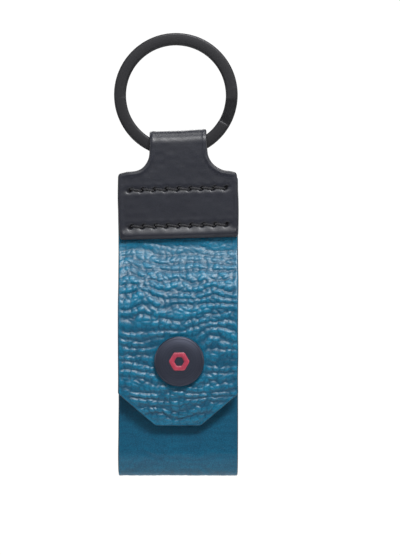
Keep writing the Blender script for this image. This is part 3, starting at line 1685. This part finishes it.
@dataclass
class Flap:
    """Teal front flap: sewn under the tab, out over the module, down past the snap to a clipped tip."""

    centre_x: float = 0.6
    width: float = 30.0
    thickness: float = 1.6
    top_z: float = -33.4
    hinge_z: float = -50.1
    bottom_z: float = -95.6
    sewn_y: float = -0.95
    front_y: float = -6.65
    snap: tuple[float, float] = (0.3, -79.6)
    cap_radius: float = 6.25
    tip_width: float = 11.1
    clip_height: float = 7.9
    bend_length: float = 22.0
    tip_curl: float = 1.7
    rounding: float = 0.5
    waviness: float = 0.11
    wave_seed: int = 5
    grain_seed: int = 11
    swell_seed: int = 71
    swell: float = 0.16
    seat_margin: float = 0.4
    seat_depth: float = 0.2
    even_relief: float = 0.62

    def __post_init__(self) -> None:
        """Lays out the path from the tip up to the sewn end."""
        top = self.hinge_z - 0.15
        bend_start = (self.sewn_y, top)
        bend_end = (self.front_y, top - self.bend_length)
        bend = curved(
            bend_start, (self.sewn_y - 0.3, top - 5), (self.front_y + 0.4, top - 9), bend_end
        )
        straight_end = (self.front_y, self.snap[1] - self.cap_radius)
        tip = (self.front_y + self.tip_curl, self.bottom_z)
        self.path = SidePath(
            curved(tip, (self.front_y, self.bottom_z + 5), straight_end),
            straight(straight_end, bend_end),
            bend[::-1],
            straight(bend_start, (self.sewn_y, self.top_z)),
            soften=1.2,
        )

    def _outline(self) -> tuple[Array, Array]:
        """Outline of the flap, from the clipped tip to the sewn end.

        Returns:
            Length along the path and half-width.
        """
        half, tip, rounding = self.width / 2, self.tip_width / 2, self.rounding
        clip_s = self.path.length_at(self.bottom_z + self.clip_height)
        end = self.path.length
        run = (half - tip) / math.hypot(half - tip, clip_s)
        points = [
            (0.0, tip - rounding * 0.5),
            (0.06, tip - 0.05),
            (rounding * (1 - run), tip + rounding * run * 0.6),
            (clip_s - rounding * 1.2, half - rounding * 1.2 * (half - tip) / clip_s),
            (clip_s - rounding * 0.4, half - 0.2),
            (clip_s + rounding * 0.5, half),
            (end - 0.4, half),
            (end, half - 0.3),
        ]
        return np.array(points).T

    def _finished(self, x: Array, s: Array, inset: Array) -> Surface:
        """Pebbled grain, calmer at the tab, pressed down round the cap.

        Args:
            x: place across the flap.
            s: length along the flap.
            inset: distance from the cut edge.

        Returns:
            The surface.
        """
        snap_s, hinge_s = self.path.length_at(self.snap[1]), self.path.length_at(self.hinge_z)
        from_snap = np.hypot(x - self.snap[0], s - snap_s)
        strength = 1 - 0.15 * smoothstep(hinge_s - 18, hinge_s - 9, s)
        strength *= 1 - 0.55 * smoothstep(hinge_s - 8, hinge_s - 1, s)
        strength *= 0.35 + 0.65 * smoothstep(self.cap_radius - 0.3, self.cap_radius + 2.2, from_snap)
        surface = PebbleGrain(self.grain_seed).laid(x, s, inset, strength, self.even_relief)
        seat = self.cap_radius - self.seat_margin
        surface.height += self.swell * SmoothNoise(self.swell_seed).at(x / 11.0, s / 9.0)
        surface.height -= self.seat_depth * (bump(from_snap, seat, 1.1) + (from_snap < seat))
        return surface

    def build(self, wardrobe: Wardrobe) -> bpy.types.Object:
        """Cuts the flap and bends it.

        Args:
            wardrobe: hands out the finishes.

        Returns:
            The flap.
        """
        outline_s, half = self._outline()
        wave = SmoothNoise(self.wave_seed)
        fine_s = np.unique(np.concatenate([outline_s, np.arange(9, self.path.length - 1, 1.0)]))
        fine_half = np.interp(fine_s, outline_s, half)
        waviness = self.waviness * smoothstep(2.0, 10.0, fine_s)
        right = fine_half + waviness * wave.at(fine_s / 6.0, 2.5)
        left = -fine_half + waviness * wave.at(fine_s / 6.0, 8.5)
        hinge_s = self.path.length_at(self.hinge_z)
        flap = LeatherSheet(
            "flap_leather",
            self.path,
            self.thickness,
            fine_s,
            left,
            right,
            row_pitch=0.225,
            column_pitch=0.225,
            finished=self._finished,
            coarse_rows=[(hinge_s + 3.0, self.path.length - 0.6, 0.7)],
            edge_radius=0.32,
            place=lambda points: points + np.array([self.centre_x, 0.0, 0.0]),
        ).build()
        wardrobe.put_on(flap, Finish.TEAL_LEATHER)
        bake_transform(flap)
        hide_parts("flap_root", "flap_panel")
        return flap


@dataclass
class Strap:
    """Teal strap: sewn behind the tab, down behind the module and folded up as the front panel."""

    centre_x: float = 0.6
    width: float = 30.0
    thickness: float = 1.6
    top_z: float = -33.4
    tab_bottom_z: float = -48.8
    sewn_y: float = 0.95
    back_y: float = 5.6
    panel_y: float = -2.25
    fold_z: float = -101.8
    bottom_z: float = -108.8
    panel_top_z: float = -73.0
    waviness: float = 0.09
    wave_seed: int = 6
    grain_seed: int = 23
    streak_seed: int = 41
    swell_seed: int = 43
    back_strength: float = 0.7
    fold_loss: float = 0.45
    panel_loss: float = 0.13
    back_relief: float = 0.62
    panel_relief: float = 0.3
    streak_height: float = 0.05
    swell: float = 0.03

    def __post_init__(self) -> None:
        """Lays out the path from the sewn end to the front panel's free edge."""
        fold_y = (self.back_y + self.panel_y) / 2
        depth = self.fold_z - self.bottom_z - self.thickness / 2
        sewn_end, back_start = self.tab_bottom_z - 0.8, self.tab_bottom_z - 10.5
        self.path = SidePath(
            straight((self.sewn_y, self.top_z), (self.sewn_y, sewn_end)),
            curved(
                (self.sewn_y, sewn_end),
                (self.sewn_y, self.tab_bottom_z - 5),
                (self.back_y, self.tab_bottom_z - 5),
                (self.back_y, back_start),
            ),
            straight((self.back_y, back_start), (self.back_y, self.fold_z)),
            arc((fold_y, self.fold_z), (self.back_y - fold_y, depth), 0, -180),
            straight((self.panel_y, self.fold_z), (self.panel_y, self.panel_top_z)),
            soften=0.8,
        )

    def _finished(self, x: Array, s: Array, inset: Array) -> Surface:
        """Pebbled grain that is pressed flatter on the front panel and stretched round the fold.

        Args:
            x: place across the strap.
            s: length along the strap.
            inset: distance from the cut edge.

        Returns:
            The surface.
        """
        panel_s = self.path.length_at(self.fold_z, from_end=True)
        on_panel = smoothstep(panel_s - 9.0, panel_s + 3.0, s)
        around = smoothstep(self.path.length_at(self.fold_z) - 2.0, panel_s - 12.0, s)
        strength = self.back_strength - self.fold_loss * around - self.panel_loss * on_panel
        plain = self.back_relief + (self.panel_relief - self.back_relief) * on_panel
        grain = PebbleGrain(self.grain_seed, wander=0.8, tone_gain=1.2)
        surface = grain.laid(x, s, inset, strength, plain)
        streaks = SmoothNoise(self.streak_seed).at((x * 0.5 + s) / 3.4, (s - x * 0.4) / 14.0)
        surface.height += self.streak_height * on_panel * streaks
        surface.height += self.swell * SmoothNoise(self.swell_seed).at(x / 9.0, s / 9.0)
        return surface

    def build(self, wardrobe: Wardrobe) -> bpy.types.Object:
        """Cuts the strap and folds it.

        Args:
            wardrobe: hands out the finishes.

        Returns:
            The strap.
        """
        length = self.path.length
        close = np.array([0.0, 0.08, 0.35])
        steps = np.concatenate([close, np.arange(1.0, length - 1.0, 1.0), length - close[::-1]])
        near_end = np.minimum(steps, length - steps)
        half = self.width / 2 - 0.35 * (1 - smoothstep(0.0, 0.4, near_end))
        wave = SmoothNoise(self.wave_seed)
        right = half + self.waviness * wave.at(steps / 7.0, 1.5)
        left = -half + self.waviness * wave.at(steps / 7.0, 6.5)
        tab_end = self.path.length_at(self.tab_bottom_z)
        strap = LeatherSheet(
            "strap_leather",
            self.path,
            self.thickness,
            steps,
            left,
            right,
            row_pitch=0.3,
            column_pitch=0.28,
            finished=self._finished,
            coarse_rows=[(0.6, tab_end - 2.0, 0.8)],
            edge_radius=0.32,
            place=lambda points: points + np.array([self.centre_x, 0.0, 0.0]),
        ).build()
        wardrobe.put_on(strap, Finish.TEAL_LEATHER)
        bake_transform(strap)
        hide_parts("strap_back", "strap_front")
        return strap


# ---------------------------------------------------------------- snap fastener


@dataclass
class SnapFastener:
    """Domed cap with a rolled rim and a plain hexagon, over the socket, stud and post."""

    flap: Flap
    play: float = 0.2
    height: float = 1.5
    rim_radius: float = 0.62
    lip_radius: float = 0.3
    flat_radius: float = 3.0
    dome_fall: float = 0.34
    post_radius: float = 1.3
    post_spare: float = 0.7
    flange_radius: float = 1.9
    flange_thickness: float = 0.25
    cap_sides: int = 120
    mark_reach: float = 2.6
    mark_opening: float = 1.25
    mark_proud: float = 0.22
    mark_bevel: float = 0.12
    mark_corners: int = 6
    mark_steps: int = 8
    mark_rounding: float = 0.035

    def __post_init__(self) -> None:
        """Finds the cap's axis on the flap's front face."""
        face_y = self.flap.front_y - self.flap.thickness / 2
        self.axis = Vector((self.flap.centre_x + self.flap.snap[0], face_y, self.flap.snap[1]))

    def _cap_profile(self) -> Array:
        """Outline of the cap, from the front's middle to the end of its post.

        Returns:
            Rows of radius and Y.
        """
        radius, rim, lip, flat = self.flap.cap_radius, self.rim_radius, self.lip_radius, self.flat_radius
        front = -self.play - self.height
        points = [(0.0, front), (flat / 2, front), (flat - 0.1, front + 0.01)]
        for share in np.linspace(0.15, 1.0, 10):
            fall = 0.02 + self.dome_fall * share**2
            points.append((flat + (radius - rim - flat) * share, front + fall))
        for angle in np.radians(np.linspace(62, 0, 8)):
            points.append((radius - rim + rim * math.cos(angle), front + 0.92 - rim * math.sin(angle)))
        for angle in np.radians(np.linspace(-20, -90, 5)):
            points.append((radius - lip + lip * math.cos(angle), front + 1.0 - lip * math.sin(angle)))
        post_end = self.flap.thickness + self.play + self.post_spare
        flange_end = post_end + self.flange_thickness
        points.extend([(self.post_radius, -self.play), (self.post_radius, post_end)])
        points.extend([(self.flange_radius, post_end + 0.05), (self.flange_radius, flange_end)])
        points.append((0.0, flange_end))
        return np.array(points)

    def _mark(self) -> bpy.types.Object:
        """A hexagonal ring of enamel with bevelled edges.

        Returns:
            The ring.
        """
        front = -self.play - self.height
        proud, bevel, foot = front - self.mark_proud, self.mark_bevel, front + 0.1
        outer, inner = self.mark_reach, self.mark_opening
        rings = [
            (outer, foot),
            (outer, proud + bevel),
            (outer - 0.4 * bevel, proud + 0.3 * bevel),
            (outer - bevel, proud),
            (inner + bevel, proud),
            (inner + 0.4 * bevel, proud + 0.3 * bevel),
            (inner, proud + bevel),
            (inner, foot),
        ]
        share = np.tile(np.arange(self.mark_steps) / self.mark_steps, self.mark_corners)
        sixth = 2 * math.pi / self.mark_corners
        start = sixth * np.repeat(np.arange(self.mark_corners), self.mark_steps)
        from_corner = np.minimum(1, self.mark_steps * np.minimum(share, 1 - share))
        pull = 1 - self.mark_rounding * (1 - from_corner)
        x = pull * ((1 - share) * np.cos(start) + share * np.cos(start + sixth))
        z = pull * ((1 - share) * np.sin(start) + share * np.sin(start + sixth))
        reach, y = np.array(rings).T[..., None]
        points = np.stack([reach * x, y + 0 * x, reach * z], axis=-1).reshape(-1, 3)
        faces = ring_faces(len(rings), len(share), closed=True)
        return new_object("cap_hexagon", points + np.array(self.axis), faces)

    def build(self, wardrobe: Wardrobe) -> list[bpy.types.Object]:
        """Makes the cap and its mark.

        Args:
            wardrobe: hands out the finishes.

        Returns:
            The new pieces.
        """
        cap = turned("snap_cap_dome", self._cap_profile(), self.axis, self.cap_sides)
        wardrobe.put_on(cap, Finish.CAP_METAL)
        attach(cap, "flap")
        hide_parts("snap_cap")
        mark = self._mark()
        wardrobe.put_on(mark, Finish.RED_ENAMEL)
        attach(mark, "flap")
        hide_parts("cap_mark")
        return [cap, mark]


# ---------------------------------------------------------------- hard parts carried over


@dataclass
class HardParts:
    """The snap's metal and the tracker module, whose shapes come from the frame."""

    finishes: dict[str, Finish] = field(
        default_factory=lambda: {
            "snap_socket": Finish.NICKEL,
            "socket_spring": Finish.NICKEL,
            "snap_stud": Finish.NICKEL,
            "stud_post": Finish.NICKEL,
            "shell_front": Finish.SHELL_PLASTIC,
            "shell_back": Finish.SHELL_PLASTIC,
            "battery_door": Finish.SHELL_PLASTIC,
            "door_gasket": Finish.SOFT_RUBBER,
            "push_button": Finish.SOFT_RUBBER,
            "coin_cell": Finish.NICKEL,
            "contact_negative": Finish.BRASS,
            "contact_positive": Finish.BRASS,
            "circuit_board": Finish.BOARD_GREEN,
            "radio_chip": Finish.CHIP_BLACK,
            "crystal": Finish.NICKEL,
            "antenna": Finish.CERAMIC_WHITE,
            "tact_switch": Finish.CHIP_BLACK,
            "status_led": Finish.CERAMIC_WHITE,
            "light_pipe": Finish.CLEAR_PLASTIC,
            "piezo_disc": Finish.BRASS,
        }
    )
    bevel_width: float = 0.07
    bevel_angle: float = math.radians(32)
    bevel_segments: int = 2

    def build(self, wardrobe: Wardrobe) -> int:
        """Softens the edges of each part and gives it its finish.

        Args:
            wardrobe: hands out the finishes.

        Returns:
            How many parts were dressed.
        """
        for name, finish in self.finishes.items():
            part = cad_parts[name]
            material = wardrobe.get(finish)
            if not part.material_slots:
                part.data.materials.append(material)
            for held in part.material_slots:
                held.material = material
            bevel = part.modifiers.new("soft_edges", "BEVEL")
            bevel.width = self.bevel_width * MM
            bevel.segments = self.bevel_segments
            bevel.limit_method = "ANGLE"
            bevel.angle_limit = self.bevel_angle
        return len(self.finishes)


# ---------------------------------------------------------------- studio


@dataclass
class Studio:
    """White room, pale floor, soft lights and the camera."""

    view_centre: tuple[float, float] = (6.085, -58.66)
    view_height: float = 140.1
    lens: float = 180.0
    sensor: float = 36.0
    floor_z: float = -260.0
    floor_reach: float = 460.0
    floor_sides: int = 96
    floor_rings: int = 12
    floor_glow: float = 0.95
    backdrop: float = 1.05
    surround: float = 0.11

    def build(self) -> None:
        """Sets up everything round the object."""
        self._camera()
        self._world()
        self._floor()
        self._lamp("key_panel", (0.13, -0.47, 0.36), (0.3, 0.16), 5.6)
        self._lamp("overhead_panel", (0.05, -0.05, 0.47), (0.25, 0.2), 1.3)
        self._lamp("fill_panel", (-0.22, -0.6, 0.2), (0.3, 0.3), 0.5)
        self._lamp("left_panel", (-0.6, 0.0, 0.05), (0.3, 0.3), 1.6)
        self._lamp("right_panel", (0.6, 0.0, 0.05), (0.3, 0.3), 1.6)
        self._lamp("back_panel", (-0.2, 0.6, 0.35), (0.5, 0.4), 2.6)
        bpy.context.scene.view_settings.view_transform = "Standard"

    def _camera(self) -> None:
        """Level camera in front of the object, at a long lens's distance."""
        data = bpy.data.cameras.new("camera")
        data.lens, data.sensor_width = self.lens, self.sensor
        distance = self.view_height * self.lens / self.sensor
        camera = bpy.data.objects.new("camera", data)
        camera.location = Vector((self.view_centre[0], -distance, self.view_centre[1])) * MM
        camera.rotation_euler = (math.pi / 2, 0, 0)
        data.clip_start, data.clip_end = 0.01, 20.0
        bpy.context.scene.collection.objects.link(camera)
        bpy.context.scene.camera = camera

    def _world(self) -> None:
        """A room that looks white and lights softly."""
        world = bpy.data.worlds.new("white_room")
        world.use_nodes = True
        tree = world.node_tree
        tree.nodes.clear()
        graph = Graph(tree)
        seen = graph.add("LightPath").outputs["Is Camera Ray"]
        strength = graph.add("MapRange", {0: seen, 3: self.surround, 4: self.backdrop})
        room = graph.add(
            "Background", {"Color": (1.0, 1.0, 1.0, 1.0), "Strength": strength.outputs[0]}
        )
        output = graph.add("OutputWorld")
        tree.links.new(room.outputs[0], output.inputs[0])
        bpy.context.scene.world = world

    def _floor(self) -> None:
        """A pale round floor below the object."""
        sides, rings = self.floor_sides, self.floor_rings
        angle = 2 * math.pi * np.arange(sides) / sides
        reach = self.floor_reach * np.arange(1, rings + 1)[:, None] / rings
        level = np.full((rings, sides), self.floor_z)
        points = np.stack([reach * np.cos(angle), reach * np.sin(angle), level], axis=-1)
        points = np.concatenate([[[0.0, 0.0, self.floor_z]], points.reshape(-1, 3)])
        faces = [(0, 1 + side, 1 + (side + 1) % sides) for side in range(sides)]
        faces.extend(ring_faces(rings, sides, first=1, flipped=True))
        floor = new_object("floor", points, faces)
        material, graph, shader = start_material("pale_floor")
        where = graph.in_millimetres()
        tone = graph.mixed(graph.noise(where, 0.01), (0.7, 0.7, 0.7, 1), (0.74, 0.74, 0.74, 1))
        graph.feed(shader.inputs["Base Color"], tone)
        shader.inputs["Roughness"].default_value = 0.9
        shader.inputs["Emission Color"].default_value = (1.0, 1.0, 1.0, 1.0)
        seen = graph.add("LightPath").outputs["Is Camera Ray"]
        graph.feed(shader.inputs["Emission Strength"], graph.times(seen, self.floor_glow))
        floor.data.materials.append(material)

    @staticmethod
    def _lamp(
        name: str, place: tuple[float, float, float], size: tuple[float, float], power: float
    ) -> None:
        """A soft panel lamp that faces the object.

        Args:
            name: the lamp's name.
            place: where it stands, in metres.
            size: its width and height, in metres.
            power: its power in watts.
        """
        data = bpy.data.lights.new(name, "AREA")
        data.shape = "RECTANGLE"
        data.size, data.size_y = size
        data.energy = power
        lamp = bpy.data.objects.new(name, data)
        lamp.location = place
        aim = Vector((0.0, 0.0, -0.06)) - Vector(place)
        lamp.rotation_euler = aim.to_track_quat("-Z", "Y").to_euler()
        bpy.context.scene.collection.objects.link(lamp)


# ---------------------------------------------------------------- the whole fob


def report_piece(obj: bpy.types.Object) -> None:
    """Logs a piece's name and face count."""
    LOG.info("%s: %d faces", obj.name, len(obj.data.polygons))


def main() -> None:
    """Builds every sub-assembly in order and reports each piece."""
    logging.basicConfig(level=logging.INFO, format="%(message)s")
    Studio().build()
    wardrobe = Wardrobe()
    report_piece(SplitRing().build(wardrobe))
    tab = Tab()
    report_piece(tab.build(wardrobe))
    for height, name, node in zip(
        tab.row_heights, ("stitches_upper", "stitches_lower"), ("thread_upper", "thread_lower")
    ):
        report_piece(StitchRow(tab, height, name, node).build(wardrobe))
    flap = Flap()
    report_piece(flap.build(wardrobe))
    report_piece(Strap().build(wardrobe))
    for piece in SnapFastener(flap).build(wardrobe):
        report_piece(piece)
    LOG.info("hard parts dressed: %d", HardParts().build(wardrobe))


if __name__ == "__main__":
    main()
